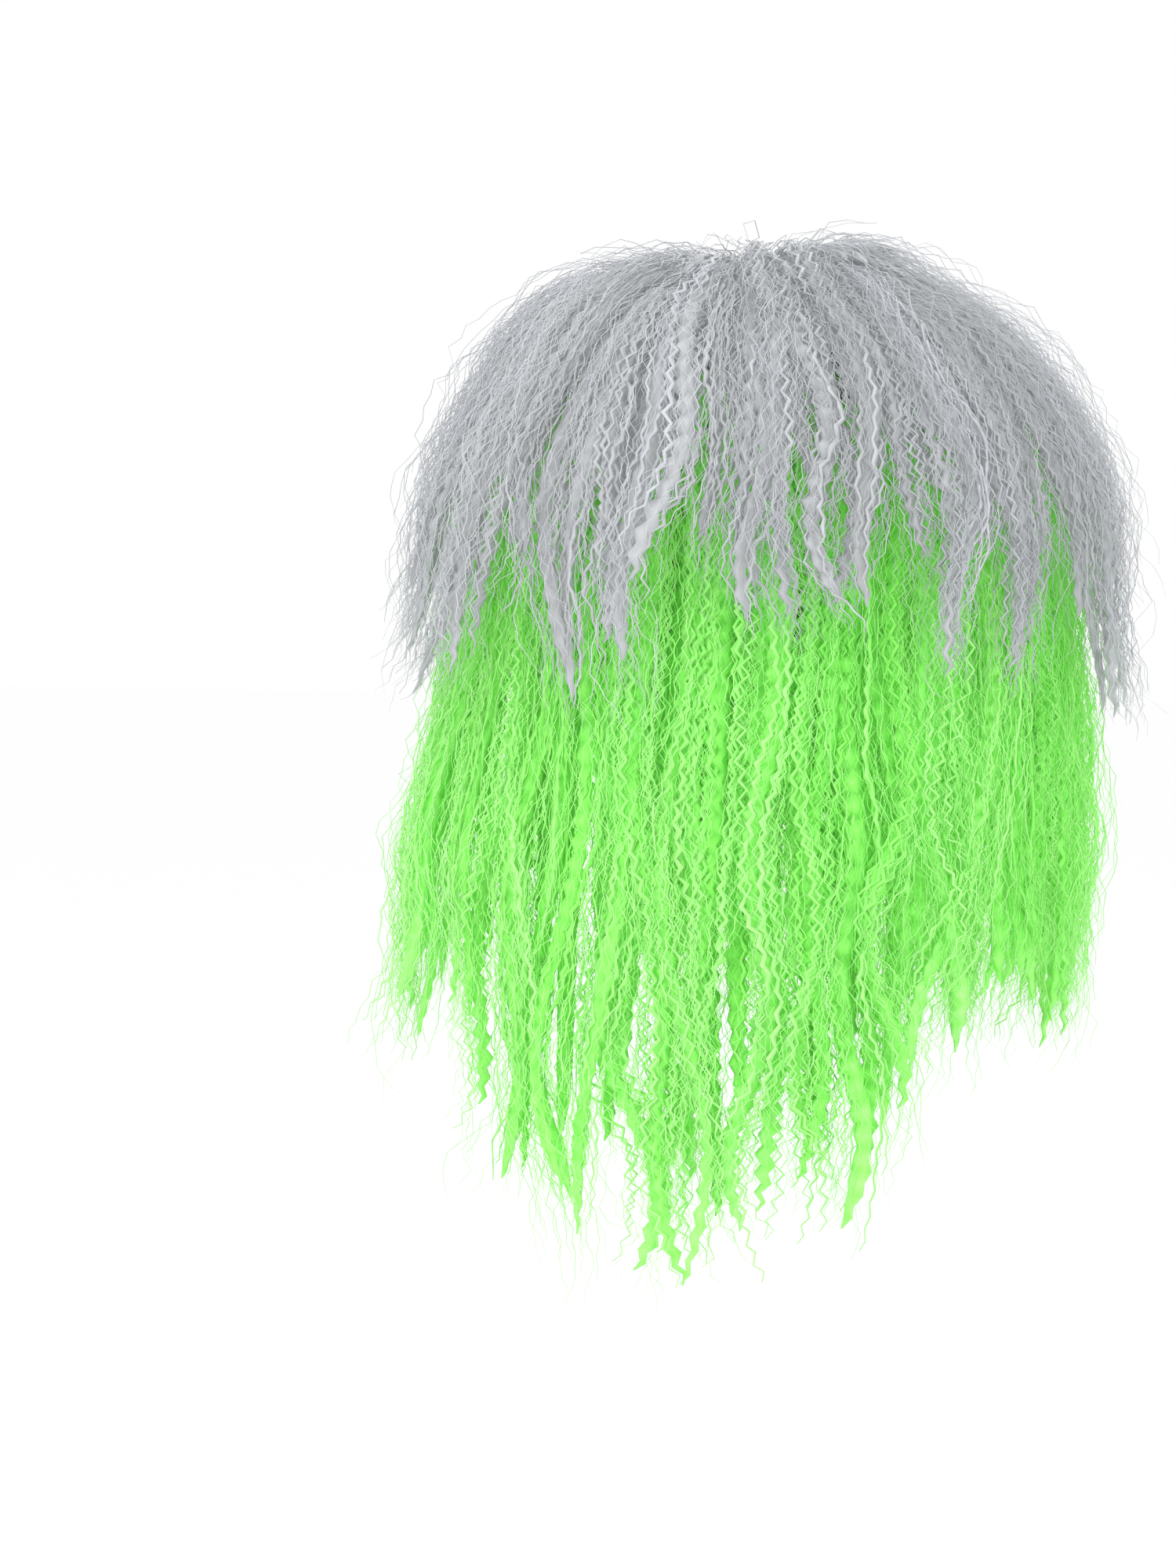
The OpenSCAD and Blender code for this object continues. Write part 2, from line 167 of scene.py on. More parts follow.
# Ellipsoid over the head down to station 90, then a wall that falls straight down
def domePoint(azimuth, station, growX, growY, growZ, fall):
    s = np.radians(station)
    x = (head["halfBreadth"] + growX) * np.sin(s) * np.cos(azimuth)
    y = (head["halfLength"] + growY) * np.sin(s) * np.sin(azimuth)
    z = (head["crownDrop"] + growZ) * np.cos(s) - head["crownDrop"] - fall
    return np.stack([x, y, z], -1)


grey = {
    "degree": 0.00205,        # hair length that covers a degree of the dome
    "inner": 0.0042,          # growth over the head where no green lies under it
    "overGreen": 0.0145,      # and where green does
    "outerFront": (0.030, 0.019, 0.0185),
    "outerBack": (0.042, 0.033, 0.0165),
    "bump": 0.0085,           # a rise just behind the crown
    "bumpBack": 0.027,
    "bumpSize": 0.028,
    "shoulder": 0.004,        # the front half is squarer at its shoulders
    "shoulderAt": 38.0,
    "shoulderSize": 16.0,
    "flare": 0.10,            # how fast it stands out as it falls
    "rootRise": (-0.004, 0.035),     # lengths over which a lock rises from the cap
    "crownRise": (4.0, 20.0),        # stations over which it reaches its full depth
    "crownShare": 0.6,
    "innerStations": (30.0, 46.0),   # where the green under it begins
    "backShare": (-0.8, 0.6),        # from the front to the back, by the sine of the azimuth
    "swayRadius": 0.12,
    "ropes": 0.45,            # the share of outer locks that hold together
}
green = {
    "degree": 0.0016,
    "inner": 0.0042,
    "rootDepth": 0.0088,
    "rootRise": (-0.004, 0.03),
    "flare": (0.16, 0.07),    # sideways, and to the front and back
    "flareEnd": 0.062,        # fall at which the curtain hangs straight
    "curtainDepth": 0.022,
    "curtainFall": (0.045, 0.11),    # falls over which it takes the curtain's depth
    "curtainBack": (-0.7, 0.5),      # from the back to the front, by the azimuth's sine
    "backDepth": 0.5,                # the back curtain's depth, as a share of the front's
    "open": (0.005, 0.002),          # how far it opens towards its tip, on the same sides
    "swayRadius": 0.11,
    "ropes": 0.3,
}


# Grey hair's place: out over the dome at its depth, down past the widest level, and
# outwards at the tip by its kick
def greyPath(lock, length):
    g = grey
    domeLength = (90.0 - lock["root"]) * g["degree"]
    station = np.minimum(lock["root"] + length / g["degree"], 90.0)
    fall = np.maximum(length - domeLength, 0.0)
    share = length / lock["length"]
    sway = lock["sway"] * np.sin(length * lock["swayRate"] + lock["swayPhase"]) * share
    azimuth = np.radians(lock["azimuth"] + lock["drift"] * share) + sway / g["swayRadius"]
    full = g["crownShare"] + (1.0 - g["crownShare"]) * smooth(station, *g["crownRise"])
    depth = lock["depth"] * (smooth(length, *g["rootRise"]) * full)
    inner = g["inner"] + (lock["inner"] - g["inner"]) * smooth(station, *g["innerStations"])
    back = smooth(np.sin(azimuth), *g["backShare"])[..., None]
    outer = np.array(g["outerFront"]) * (1.0 - back) + np.array(g["outerBack"]) * back
    flat = domePoint(azimuth, station, 0, 0, 0, 0)
    away = flat[..., 0] ** 2 + (flat[..., 1] - g["bumpBack"]) ** 2
    lift = g["bump"] * np.exp(-away / g["bumpSize"] ** 2)
    shoulder = np.exp(-((station - g["shoulderAt"]) / g["shoulderSize"]) ** 2)
    shoulder = g["shoulder"] * (1.0 - back[..., 0]) * shoulder
    outward = g["flare"] * fall + lock["kick"] * share ** 4
    growX = inner + (outer[..., 0] - inner) * depth + outward + shoulder
    growY = inner + (outer[..., 1] - inner) * depth + outward + shoulder
    growZ = inner + (outer[..., 2] + lift - inner) * depth + shoulder
    return domePoint(azimuth, station, growX, growY, growZ, fall)


# Green hair's place: close to the head under the grey, then out to the curtain
def greenPath(lock, length):
    g = green
    domeLength = (90.0 - lock["root"]) * g["degree"]
    station = np.minimum(lock["root"] + length / g["degree"], 90.0)
    fall = np.maximum(length - domeLength, 0.0)
    share = length / lock["length"]
    sway = lock["sway"] * np.sin(length * lock["swayRate"] + lock["swayPhase"]) * share
    azimuth = np.radians(lock["azimuth"] + lock["drift"] * share ** 1.5) + sway / g["swayRadius"]
    depth = lock["depth"] * smooth(length, *g["rootRise"])
    under = g["rootDepth"] * depth
    front = smooth(-np.sin(azimuth), *g["curtainBack"])
    hanging = g["curtainDepth"] * depth * (g["backDepth"] + (1.0 - g["backDepth"]) * front)
    out = under + (hanging - under) * smooth(fall, *g["curtainFall"]) + lock["kick"] * share ** 4
    straight = np.minimum(fall, g["flareEnd"])
    growX = g["inner"] + g["flare"][0] * straight + g["open"][0] * share + out
    growY = g["inner"] + g["flare"][1] * straight + g["open"][1] * share + out
    return domePoint(azimuth, station, growX, growY, g["inner"] + out, fall)


# A path's place, and the ways across it and out from the head, by differences
def pathFrame(path, lock, length):
    step = 0.0015
    here = path(lock, length)
    ahead = path(lock, length + step) - path(lock, np.maximum(length - step, 0.0))
    along = unit(ahead)
    centre = np.array([0.0, 0.0, -head["crownDrop"]])
    away = here - centre
    away[..., 2] = np.maximum(away[..., 2], 0.0)
    side = unit(np.cross(along, unit(away)))
    return here, side, np.cross(side, along)


# A lock's outline: narrow at the root, full from "full" on, and narrower again to the tip
lockBody = {"root": 0.25, "full": (-0.1, 0.3), "narrows": (0.4, 1.05)}
# How a fibre wanders: sines of these rates, in radians a metre, and a faster, smaller one
wandering = {"rates": (60, 160), "rootShare": 0.25, "fastRate": 2.7, "fastShare": 0.4}
# How a fibre's own size varies
fibre = {"sizes": (0.7, 1.25), "tipShare": 0.2, "coreTip": 0.1, "tipPower": 0.7}
zigzag = {"heights": (0.7, 1.2), "begins": 0.08}
# Painted shade: fibres deeper in a lock are darker
depthShade = 0.10              # fibres farther out are paler


# One lock's fibres: flat wisps or thin strands that share its crimp. The crimp is a zigzag
# with two points to a wave, and each fibre slides along it by a little.
def growLock(path, lock, kind, count):
    rings = int(kind["rings"] * max(4, round(lock["length"] / lock["wave"]))) + 1
    slide = kind["slide"] * rng.uniform(-1, 1, (count, 1))
    ends = lock["length"] * (1.0 - kind["stagger"] * rng.uniform(0, 1, (count, 1)) ** 2)
    ends = ends * (1.0 + kind["overshoot"] * rng.normal(0, 1, (count, 1)))
    index = np.arange(rings)[None, :]
    length = np.clip((index + slide) / (rings - 1), 0.0, 1.0) * ends
    length[:, 1:] = np.maximum(length[:, 1:], length[:, :-1] + 1e-5)
    here, side, out = pathFrame(path, lock, length)
    share = length / lock["length"]
    b = lockBody
    body = ((b["root"] + (1.0 - b["root"]) * smooth(share, *b["full"]))
            * (1.0 - (1.0 - lock["tip"]) * smooth(share, *b["narrows"])))
    u = rng.uniform(-1, 1, (count, 1)) * kind["spread"] * lock["loose"]
    n = rng.uniform(kind["low"], kind["high"], (count, 1))
    w = wandering
    wander = kind["wander"] * (w["rootShare"] + share)
    phase = rng.uniform(0, 2 * np.pi, (3, count, 1))
    rate = rng.uniform(*w["rates"], (2, count, 1))
    fast = w["fastShare"] * np.sin(length * w["fastRate"] * rate[0] + phase[1])
    aside = wander * (np.sin(length * rate[0] + phase[0]) + fast)
    outside = wander * np.sin(length * rate[1] + phase[2])
    zig = np.where(index % 2 == 0, 1.0, -1.0) * rng.uniform(*zigzag["heights"], (count, rings))
    loose = kind["frizz"] * rng.normal(0, 1, (2, count, rings))
    crimp = lock["crimp"] * smooth(share, 0.0, zigzag["begins"]) * kind["crimp"]
    crimp = crimp * (1.0 - kind["calm"] * share)
    zigShare = (1.0 - kind["frizz"]) * zig
    turn = lock["crimpTurn"]
    across = u * lock["halfWidth"] * body + aside
    across = across + crimp * (zigShare * math.cos(turn) + loose[0])
    outwards = n * lock["halfDepth"] * body + outside
    outwards = outwards + crimp * (zigShare * math.sin(turn) + loose[1])
    centre = here + side * across[..., None] + out * outwards[..., None]
    taper = np.clip((1.0 - length / ends) / kind["taper"], 0.0, 1.0) ** fibre["tipPower"]
    radius = kind["radius"] * rng.uniform(*fibre["sizes"], (count, 1))
    radius = radius * (fibre["tipShare"] + (1.0 - fibre["tipShare"]) * taper)
    body = body * (1.0 - kind["thin"] * share)
    body = body * (1.0 + kind["knots"] * rng.uniform(-1, 1, (count, rings)))
    filled = kind["fill"] * body * (fibre["coreTip"] + (1.0 - fibre["coreTip"]) * taper)
    radiusSide = radius + lock["halfWidth"] * filled
    radiusOut = radius * kind["flat"] + lock["halfDepth"] * filled
    shares = 1.0 - kind["ridge"] * rng.uniform(0, 1, (count, 1, kind["corners"]))
    verts, quads, tris = tubes(centre, side, out, radiusSide, radiusOut, shares)
    tone = lock["tone"] + kind["tone"] + rng.normal(0, kind["toneSpread"], (count, 1)) + depthShade * n
    # Painted shade: darker towards the root and paler towards the tip, and lighter and darker by turns
    # along the crimp's half waves
    tone = tone + lock["paling"] * (share - 0.5) + kind["crimpShade"] * np.sign(zig)
    around = np.arange(kind["corners"]) / kind["corners"] * kind["stripes"]
    # Any shift does, so that no two fibres show the same streaks
    around = around + rng.uniform(0, 50, (count, 1, 1))
    around = np.broadcast_to(around, (count, rings, kind["corners"]))
    lengths = np.repeat(length[..., None], kind["corners"], -1)
    tone = np.repeat(tone[..., None], kind["corners"], -1)
    return verts, quads, tris, tone.ravel(), np.stack([around.ravel(), lengths.ravel()], -1)


# One mesh from many grown parts, whose corner numbers are moved up in turn
def joinParts(name, parts):
    starts = np.cumsum([0] + [len(p[0]) for p in parts])
    return makeMesh(name, np.concatenate([p[0] for p in parts]),
                    np.concatenate([p[1] + s for p, s in zip(parts, starts)]),
                    np.concatenate([p[2] + s for p, s in zip(parts, starts)]),
                    np.concatenate([p[3] for p in parts]), np.concatenate([p[4] for p in parts]))


# The body of a lock, the wisps on it, the strands over them, and the frizz that strays.
# spread, low and high place fibres across and through the lock, fill makes a fibre as wide
# as its lock, rings is a count for each wave, and calm, knots and thin shape a lock's body.
# A kind's tone is painted shade: the lock's body darker, and the wisps, strands and strays that lie
# farther out paler
core = {
    "spread": 0.0, "low": -0.1, "high": 0.1, "wander": 0.0, "crimp": 1.15, "slide": 0.0,
    "radius": 0.0006, "flat": 0.6, "fill": 0.8, "corners": 10, "stagger": 0.10, "rings": 2.0,
    "overshoot": 0.0, "taper": 0.06, "tone": -0.12, "toneSpread": 0.03, "stripes": 12.0,
    "ridge": 0.6, "crimpShade": 0.10, "frizz": 0.0, "calm": 0.3, "knots": 0.22, "thin": 0.55,
}
wisp = {
    "spread": 1.0, "low": -0.3, "high": 1.2, "wander": 0.0014, "crimp": 1.1, "slide": 0.3,
    "radius": 0.0010, "flat": 0.5, "fill": 0.0, "corners": 3, "stagger": 0.14, "rings": 2.0,
    "overshoot": 0.02, "taper": 0.3, "tone": 0.03, "toneSpread": 0.07, "stripes": 2.0,
    "ridge": 0.0, "crimpShade": 0.04, "frizz": 0.08, "calm": 0.0, "knots": 0.0, "thin": 0.0,
}
strand = {
    "spread": 1.3, "low": -0.5, "high": 1.7, "wander": 0.0028, "crimp": 1.05, "slide": 0.5,
    "radius": 0.00021, "flat": 1.0, "fill": 0.0, "corners": 3, "stagger": 0.15, "rings": 2.0,
    "overshoot": 0.03, "taper": 0.15, "tone": 0.10, "toneSpread": 0.10, "stripes": 1.0,
    "ridge": 0.0, "crimpShade": 0.0, "frizz": 0.3, "calm": 0.0, "knots": 0.0, "thin": 0.0,
}
stray = {
    "spread": 2.1, "low": -0.5, "high": 2.6, "wander": 0.0044, "crimp": 1.0, "slide": 2.0,
    "radius": 0.00013, "flat": 1.0, "fill": 0.0, "corners": 3, "stagger": 0.4, "rings": 1.5,
    "overshoot": 0.04, "taper": 0.1, "tone": 0.15, "toneSpread": 0.10, "stripes": 1.0,
    "ridge": 0.0, "crimpShade": 0.0, "frizz": 0.85, "calm": 0.0, "knots": 0.0, "thin": 0.0,
}

# The hair's sections run round the head from the fringe's right edge
sectionSpan = 72.0
sectionEdge = 0.8
firstAzimuth = -126.0
clumpShare = 0.5              # the chance that a lock starts a new clump


# Azimuths spread evenly over a section, each nudged by up to so much of a lock's room
def spreadAzimuths(section, count, nudge):
    low = firstAzimuth + sectionSpan * section + sectionEdge
    room = sectionSpan - 2 * sectionEdge
    return low + room * (np.arange(count) + 0.5 + rng.uniform(-nudge, nudge, count)) / count


# Neighbouring locks gather in clumps: each leans to the clump's middle, by so many lock
# spacings, and a clump ends at one level, from -1 to 1
def gather(count):
    clump = np.cumsum(rng.uniform(0, 1, count) < clumpShare)
    clump = clump - clump[0]
    place = np.arange(count)
    middle = np.bincount(clump, place) / np.bincount(clump)
    level = rng.uniform(-1, 1, count)[clump]
    return (middle[clump] - place) * sectionSpan / count, level


# Degrees round the head from the middle of the back
def fromBack(azimuth):
    turned = abs((azimuth - 90.0) % 360.0)
    return min(turned, 360.0 - turned)


# The lowest and highest value of a lock's measures; drift and tone have a mean and a spread
anyLock = {
    "drift": (0, 4.0), "sway": (0.002, 0.006), "swayRate": (30, 70), "swayPhase": (0, 6.28),
    "kick": (-0.004, 0.008), "tip": (0.55, 1.0), "halfWidth": (0.0048, 0.0085),
    "halfDepth": (0.0030, 0.0048), "wave": (0.0064, 0.0082), "crimp": (0.0007, 0.0014),
    "crimpTurn": (-55, 55), "tone": (0.5, 0.09), "paling": 0.2, "loose": 1.15,
}
# A rope's tone, paler as painted light, and its depth are added to its lock's, and its kick multiplies
# the lock's
anyRope = {
    "halfWidth": (0.0060, 0.0088), "halfDepth": (0.0048, 0.0064), "crimp": (0.0012, 0.0016),
    "loose": 0.8, "tone": 0.07, "depth": 0.10, "kick": 1.6,
}


# A lock: root is its station on the head, depth its place from the cap (0) to the surface
# (1), kick how far its tip stands out, wave its crimp's length, and paling its painted shade, darker at
# the root and paler at the tip
def makeLock(azimuth, root, depth, length, **more):
    a = anyLock
    lock = {
        "azimuth": azimuth, "root": root, "depth": depth, "length": length, "outer": True,
        "paling": a["paling"], "loose": a["loose"],
        "drift": rng.normal(*a["drift"]), "sway": rng.uniform(*a["sway"]),
        "swayRate": rng.uniform(*a["swayRate"]), "swayPhase": rng.uniform(*a["swayPhase"]),
        "kick": rng.uniform(*a["kick"]), "tip": rng.uniform(*a["tip"]),
        "halfWidth": rng.uniform(*a["halfWidth"]), "halfDepth": rng.uniform(*a["halfDepth"]),
        "wave": rng.uniform(*a["wave"]), "crimp": rng.uniform(*a["crimp"]),
        "crimpTurn": math.radians(rng.uniform(*a["crimpTurn"])), "tone": rng.normal(*a["tone"]),
    }
    lock.update(more)
    return lock


# A rope is a lock that holds together: thicker, nearer the surface, paler as painted light for lying
# there, and more crimped
def makeRope(lock):
    a = anyRope
    lock.update(halfWidth=rng.uniform(*a["halfWidth"]), halfDepth=rng.uniform(*a["halfDepth"]),
                crimp=rng.uniform(*a["crimp"]), loose=a["loose"], tone=lock["tone"] + a["tone"],
                depth=lock["depth"] + a["depth"], kick=lock["kick"] * a["kick"])
    return lock


# The grey tips stand out more towards the front of the sides
greyEdge = {"more": 0.014, "fromBack": (60.0, 140.0)}

# The grey tips hang lower or higher round the head, with an open place behind each ear
greyFall = {
    "mean": 0.028, "waves": 0.008, "dip": 0.030, "dipFromBack": 58.0, "dipWidth": 13.0,
    "clump": 0.018, "uneven": (-0.007, 0.005), "shorter": (0.025, 0.065),
    "fringe": 0.003, "fringeClump": 0.009, "fringeShorter": (-0.01, 0.012),
}


# How far the grey falls below the widest level: two waves round the head, less a dip
def greyTip(azimuth):
    g = greyFall
    waves = math.sin(math.radians(5 * azimuth)) + math.sin(math.radians(11 * azimuth + 40))
    fromDip = (fromBack(azimuth) - g["dipFromBack"]) / g["dipWidth"]
    return g["mean"] + g["waves"] * waves - g["dip"] * math.exp(-fromDip ** 2)


greyOuter = {
    "count": 14, "nudge": 0.35, "root": (3, 26), "depth": (0.62, 0.95), "kick": (-0.006, 0.004),
    "lean": 0.62, "drift": 2.2, "sway": (0.003, 0.010), "wave": (0.0066, 0.0092),
}
# Painted shade: the inner locks' tone is darker than the outer locks'
greyInner = {
    "count": 11, "nudge": 0.2, "root": (8, 36), "depth": (0.25, 0.6), "tone": (0.38, 0.05),
    "drift": 2.0, "halfWidth": (0.007, 0.010),
}


# Clumped locks at the surface, and shorter, wider ones that fill in below, darker as painted shade. A
# lock's length is its run down to the widest level and its fall below it.
def greyLocks(section):
    fringe = section == 0
    inner = grey["inner"] if fringe else grey["overGreen"]
    locks = []
    o, g = greyOuter, greyFall
    lean, level = gather(o["count"])
    for i, azimuth in enumerate(spreadAzimuths(section, o["count"], o["nudge"])):
        root = rng.uniform(*o["root"])
        if fringe:
            fall = g["fringe"] + g["fringeClump"] * level[i]
        else:
            fall = greyTip(azimuth) + g["clump"] * level[i]
        fall = fall + rng.uniform(*g["uneven"])
        length = (90 - root) * grey["degree"] + fall
        kick = rng.uniform(*o["kick"])
        if not fringe:
            kick = kick + greyEdge["more"] * float(smooth(fromBack(azimuth), *greyEdge["fromBack"]))
        lock = makeLock(azimuth, root, rng.uniform(*o["depth"]), length, inner=inner, kick=kick,
                        drift=o["lean"] * lean[i] + rng.normal(0, o["drift"]),
                        sway=rng.uniform(*o["sway"]), wave=rng.uniform(*o["wave"]))
        locks.append(makeRope(lock) if rng.uniform() < grey["ropes"] else lock)
    o = greyInner
    for azimuth in spreadAzimuths(section, o["count"], o["nudge"]):
        root = rng.uniform(*o["root"])
        if fringe:
            fall = rng.uniform(*g["fringeShorter"])
        else:
            fall = greyTip(azimuth) - rng.uniform(*g["shorter"])
        length = (90 - root) * grey["degree"] + fall
        locks.append(makeLock(azimuth, root, rng.uniform(*o["depth"]), length, inner=inner,
                              outer=False, tone=rng.normal(*o["tone"]),
                              drift=rng.normal(0, o["drift"]),
                              halfWidth=rng.uniform(*o["halfWidth"])))
    return locks


# The green tips hang lowest behind the left ear, and are most uneven there
greenFall = {
    "short": 0.168, "long": 0.246, "rightShare": 0.25, "uneven": 0.028, "moreUneven": 0.032,
    "middle": 0.5, "clump": 0.4, "own": 0.1, "rise": (24.0, 42.0), "end": (92.0, 118.0),
    "side": (-0.2, 0.4), "shorter": (0.004, 0.026),
}


# How far the green falls: short, or long behind the left ear, less its clump's raggedness
def greenTip(azimuth, level):
    g = greenFall
    away = fromBack(azimuth)
    toLeft = smooth(math.cos(math.radians(azimuth)), *g["side"])
    left = g["rightShare"] + (1.0 - g["rightShare"]) * toLeft
    share = float(smooth(away, *g["rise"]) * (1.0 - smooth(away, *g["end"])) * left)
    step = g["middle"] - g["clump"] * level + rng.uniform(-g["own"], g["own"])
    ragged = (g["uneven"] + g["moreUneven"] * share) * step
    return g["short"] + (g["long"] - g["short"]) * share - ragged


# The side curtains flare at the front edges, and the back hangs close to the neck
greenEdge = {"back": -0.008, "more": 0.011, "fromBack": (50.0, 130.0)}


def greenFlare(azimuth):
    g = greenEdge
    return g["back"] + g["more"] * float(smooth(fromBack(azimuth), *g["fromBack"]))


greenOuter = {
    "count": 16, "nudge": 0.35, "root": (44, 60), "depth": (0.5, 0.95), "drift": 7.0,
    "kick": (-0.006, 0.006), "sway": (0.004, 0.012), "paling": 0.38, "tip": (0.8, 1.25),
}
# Painted shade: the inner locks' tone is darker than the outer locks'
greenInner = {
    "count": 12, "nudge": 0.15, "root": (50, 78), "depth": (0.05, 0.42), "tone": (0.24, 0.06),
    "drift": 1.2, "paling": 0.55, "sway": 0.002, "tip": 0.8, "halfWidth": (0.0075, 0.0100),
}


# As for the grey: clumped locks at the curtain's face, and ones inside it, darker as painted shade
def greenLocks(section):
    locks = []
    o = greenOuter
    lean, level = gather(o["count"])
    for i, azimuth in enumerate(spreadAzimuths(section, o["count"], o["nudge"])):
        root = rng.uniform(*o["root"])
        fall = greenTip(azimuth, level[i])
        length = (90 - root) * green["degree"] + fall
        lock = makeLock(azimuth, root, rng.uniform(*o["depth"]), length,
                        drift=lean[i] + rng.normal(0, o["drift"]),
                        kick=greenFlare(azimuth) + rng.uniform(*o["kick"]),
                        sway=rng.uniform(*o["sway"]), paling=o["paling"],
                        tip=rng.uniform(*o["tip"]))
        locks.append(makeRope(lock) if rng.uniform() < green["ropes"] else lock)
    o = greenInner
    for azimuth in spreadAzimuths(section, o["count"], o["nudge"]):
        root = rng.uniform(*o["root"])
        fall = greenTip(azimuth, rng.uniform(-1, 1)) - rng.uniform(*greenFall["shorter"])
        length = (90 - root) * green["degree"] + fall
        locks.append(makeLock(azimuth, root, rng.uniform(*o["depth"]), length, outer=False,
                              tone=rng.normal(*o["tone"]), drift=rng.normal(0, o["drift"]),
                              paling=o["paling"], sway=o["sway"], tip=o["tip"],
                              halfWidth=rng.uniform(*o["halfWidth"])))
    return locks


# Shader maths as Python expressions on sockets
class Value:
    def __init__(self, tree, socket):
        self.tree = tree
        self.socket = socket

    def combine(self, operation, other, swapped=False):
        a, b = (other, self) if swapped else (self, other)
        return self.tree.add("ShaderNodeMath", {"operation": operation}, {0: a, 1: b})

    def sine(self):
        return self.tree.add("ShaderNodeMath", {"operation": "SINE"}, {0: self})

    def __add__(self, other):
        return self.combine("ADD", other)

    def __radd__(self, other):
        return self.combine("ADD", other, True)

    def __sub__(self, other):
        return self.combine("SUBTRACT", other)

    def __rsub__(self, other):
        return self.combine("SUBTRACT", other, True)

    def __mul__(self, other):
        return self.combine("MULTIPLY", other)

    def __rmul__(self, other):
        return self.combine("MULTIPLY", other, True)


class Finish:
    def __init__(self, name):
        self.material = bpy.data.materials.new(name)
        self.material.use_nodes = True
        self.nodes = self.material.node_tree.nodes
        self.links = self.material.node_tree.links
        self.shader = next(n for n in self.nodes if n.type == "BSDF_PRINCIPLED")

    # Any node: its type, its settings, then the values or links of its sockets
    def add(self, kind, settings=None, sockets=None, output=0):
        node = self.nodes.new(kind)
        for key, value in (settings or {}).items():
            if key == "stops":
                self.setStops(node, value)
            else:
                setattr(node, key, value)
        for key, value in (sockets or {}).items():
            self.put(node.inputs[key], value)
        return Value(self, node.outputs[output])

    def setStops(self, node, stops):
        elements = node.color_ramp.elements
        while len(elements) < len(stops):
            elements.new(1.0)
        for element, (place, colour) in zip(elements, stops):
            element.position = place
            element.color = (*colour, 1.0)

    def put(self, socket, value):
        if isinstance(value, Value):
            self.links.new(value.socket, socket)
        else:
            socket.default_value = value

    def finish(self, **sockets):
        for key, value in sockets.items():
            self.put(self.shader.inputs[key.replace("_", " ")], value)
        return self.material


fibreLook = {"streaks": (8.0, 90.0, 1.0), "streakShare": 0.7, "roughness": 0.55, "specular": 0.3,
             "bump": 0.5, "bumpDepth": 0.0004}


# Crimped fibre: fine streaks run along each tube, over a tone that each hair carries, with shade
# painted into it. A
# little glow is painted light: it lifts the shade deep in the hair and stands for the light that passes
# through real fibre.
def hairFinish(name, dark, middle, light, glow):
    look = fibreLook
    f = Finish(name)
    tone = f.add("ShaderNodeAttribute", {"attribute_name": "tone"}, output=2)
    along = f.add("ShaderNodeUVMap", {"uv_map": "along"})
    stretched = f.add("ShaderNodeVectorMath", {"operation": "MULTIPLY"}, {0: along, 1: look["streaks"]})
    streak = f.add("ShaderNodeTexNoise", {"noise_dimensions": "2D"},
                   {"Vector": stretched, "Scale": 1.0, "Detail": 3.0, "Roughness": 0.65})
    shade = tone + (streak - 0.5) * look["streakShare"]
    stops = [(0.05, dark), (0.5, middle), (0.95, light)]
    colour = f.add("ShaderNodeValToRGB", {"stops": stops}, {0: shade})
    bump = f.add("ShaderNodeBump", None,
                 {"Strength": look["bump"], "Distance": look["bumpDepth"], "Height": streak})
    f.shader.inputs["Base Color"].default_value = (*middle, 1.0)
    # Painted light: a faint glow in the middle colour
    f.shader.inputs["Emission Color"].default_value = (*middle, 1.0)
    f.shader.inputs["Emission Strength"].default_value = glow
    return f.finish(Base_Color=colour, Roughness=look["roughness"], Normal=bump,
                    Specular_IOR_Level=look["specular"])


greyFinish = hairFinish("grey_fibre", (0.26, 0.27, 0.275), (0.415, 0.43, 0.44),
                        (0.55, 0.565, 0.60), 0.27)
greenFinish = hairFinish("green_fibre", (0.05, 0.46, 0.015), (0.30, 0.91, 0.15),
                         (0.52, 0.98, 0.36), 0.15)

# Each layer: how its locks are made, blend heights between the cap and a swinging section, which
# nothing reads, and how many strands and strays an outer and an inner lock has
sections = ["fringe", "left_side", "left_back", "right_back", "right_side"]
layers = {
    "grey": {"path": greyPath, "finish": greyFinish, "locks": greyLocks,
             "blend": (-0.055, -0.085), "strands": (16, 6), "strays": (11, 4)},
    "green": {"path": greenPath, "finish": greenFinish, "locks": greenLocks,
              "blend": (-0.145, -0.175), "strands": (15, 9), "strays": (8, 2)},
}
wispCounts = (4, 2)


def growAll(path, locks, kind, counts):
    return [growLock(path, k, kind, counts[0] if k["outer"] else counts[1]) for k in locks]


def countTriangles(grown):
    return sum(len(p[1]) * 2 + len(p[2]) for p in grown)


def dressHair(piece, finish, nodes):
    piece.data.materials.append(finish)
    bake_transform(piece)
    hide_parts(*nodes)


total = 0
for number, name in enumerate(sections):
    for colour, layer in layers.items():
        if colour == "green" and name == "fringe":
            continue
        locks = layer["locks"](number)
        path = layer["path"]
        stem = name if name == "fringe" else f"{name}_{colour}"
        made = {
            "locks": (growAll(path, locks, core, (1, 1))
                      + growAll(path, locks, wisp, wispCounts)),
            "strands": (growAll(path, locks, strand, layer["strands"])
                        + growAll(path, locks, stray, layer["strays"])),
        }
        for part, grown in made.items():
            piece = joinParts(f"{stem}_{part}", grown)
            total += countTriangles(grown)
            dressHair(piece, layer["finish"],
                      (f"{stem}_roots", f"{stem}_ends"))

# Short hair that stands round the whorl and falls over the partings
crownHair = {
    "count": 26, "length": (0.035, 0.075), "root": (1.0, 7.0), "turn": 6.0, "depth": (0.85, 1.08),
    "kick": (0, 0.006), "halfWidth": (0.0035, 0.006), "wisps": 4, "strands": 12, "strays": 5,
}


def crownLock(azimuth):
    c = crownHair
    return makeLock(azimuth, rng.uniform(*c["root"]), rng.uniform(*c["depth"]),
                    rng.uniform(*c["length"]), inner=grey["inner"], kick=rng.uniform(*c["kick"]),
                    halfWidth=rng.uniform(*c["halfWidth"]))


